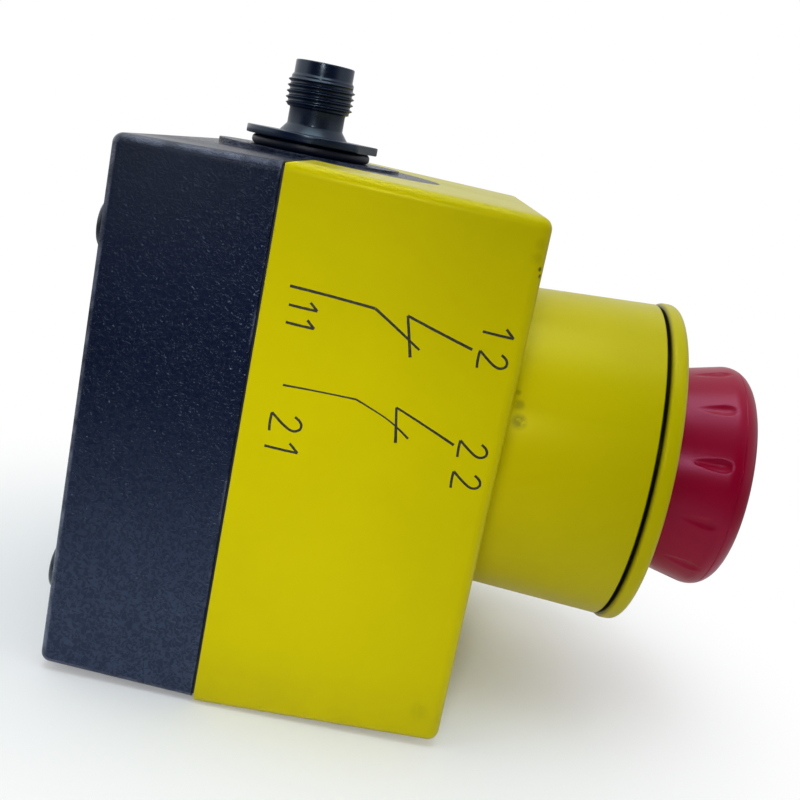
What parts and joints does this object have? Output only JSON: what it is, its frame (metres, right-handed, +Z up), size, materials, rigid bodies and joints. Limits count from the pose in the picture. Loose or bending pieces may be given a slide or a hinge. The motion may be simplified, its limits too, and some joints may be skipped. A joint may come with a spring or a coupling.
{
  "type": "emergency stop switch",
  "caption": "Wall enclosure with a red latching mushroom head in a flared collar that opens its contacts when pressed, and a round threaded plug on top.",
  "frame": {"origin": "centre of the four wall screws, in the plane of the wall", "axes": "+Y into the wall, -Y towards the button, +Z up along the plug, X across"},
  "size_m": [0.085, 0.1123, 0.1006],
  "materials": {
    "base_plastic": "moulded, leather-like grain",
    "cover_plastic": "moulded, fine grain",
    "head_plastic": "moulded, satin",
    "black_plastic": "moulded, satin",
    "grey_plastic": "moulded, plain",
    "seal_rubber": "moulded rubber",
    "steel": "zinc plated",
    "contact_brass": "stamped",
    "lead_black": "insulated lead",
    "lead_blue": "insulated lead",
    "lead_white": "insulated lead",
    "lead_brown": "insulated lead"
  },
  "bodies": {
    "housing": {"base_box": "base_plastic", "cover": "cover_plastic", "cover_gasket": "seal_rubber", "cover_screws": "steel", "wall_grommets": "seal_rubber", "protective_collar": "cover_plastic", "collar_rim": "cover_plastic", "actuator_body": "black_plastic", "bezel_seal": "seal_rubber", "neck_seal": "seal_rubber", "ring_nut": "black_plastic", "latch_ring": "steel", "return_spring": "steel", "contact_holder": "grey_plastic", "contact_block_left": "grey_plastic", "contact_block_right": "grey_plastic", "contact_spring_left": "steel", "contact_spring_right": "steel", "fixed_contacts_left": "contact_brass", "fixed_contacts_right": "contact_brass", "terminal_screws": "steel", "connector_shell": "black_plastic", "connector_insert": "black_plastic", "connector_pins": "contact_brass", "connector_oring": "seal_rubber", "connector_nut": "steel", "wire_black": "lead_black", "wire_blue": "lead_blue", "wire_white": "lead_white", "wire_brown": "lead_brown"},
    "plunger": {"plunger": "grey_plastic", "plunger_clip": "steel"},
    "button": {"mushroom_cap": "head_plastic", "cam_sleeve": "grey_plastic"},
    "contact_left": {"contact_plunger_left": "grey_plastic", "contact_bridge_left": "contact_brass"},
    "contact_right": {"contact_plunger_right": "grey_plastic", "contact_bridge_right": "contact_brass"}
  },
  "joints": [
    {"name": "button_press", "type": "slide", "parent": "housing", "child": "plunger", "axis": [0, 1, 0], "range_m": [0, 0.004], "deforming": ["return_spring"]},
    {"name": "button_twist", "type": "hinge", "parent": "plunger", "child": "button", "pos_m": [0, -0.1, 0], "axis": [0, 1, 0], "range_deg": [0, 35], "stiffness_Nm_per_rad": 0.03},
    {"name": "contact_left_slide", "type": "slide", "parent": "housing", "child": "contact_left", "axis": [0, 1, 0], "range_m": [0, 0.004], "deforming": ["contact_spring_left"]},
    {"name": "contact_right_slide", "type": "slide", "parent": "housing", "child": "contact_right", "axis": [0, 1, 0], "range_m": [0, 0.004], "deforming": ["contact_spring_right"]}
  ],
  "couplings": [
    {"joint": "contact_left_slide", "follows": "button_press", "ratio": 1},
    {"joint": "contact_right_slide", "follows": "button_press", "ratio": 1}
  ]
}
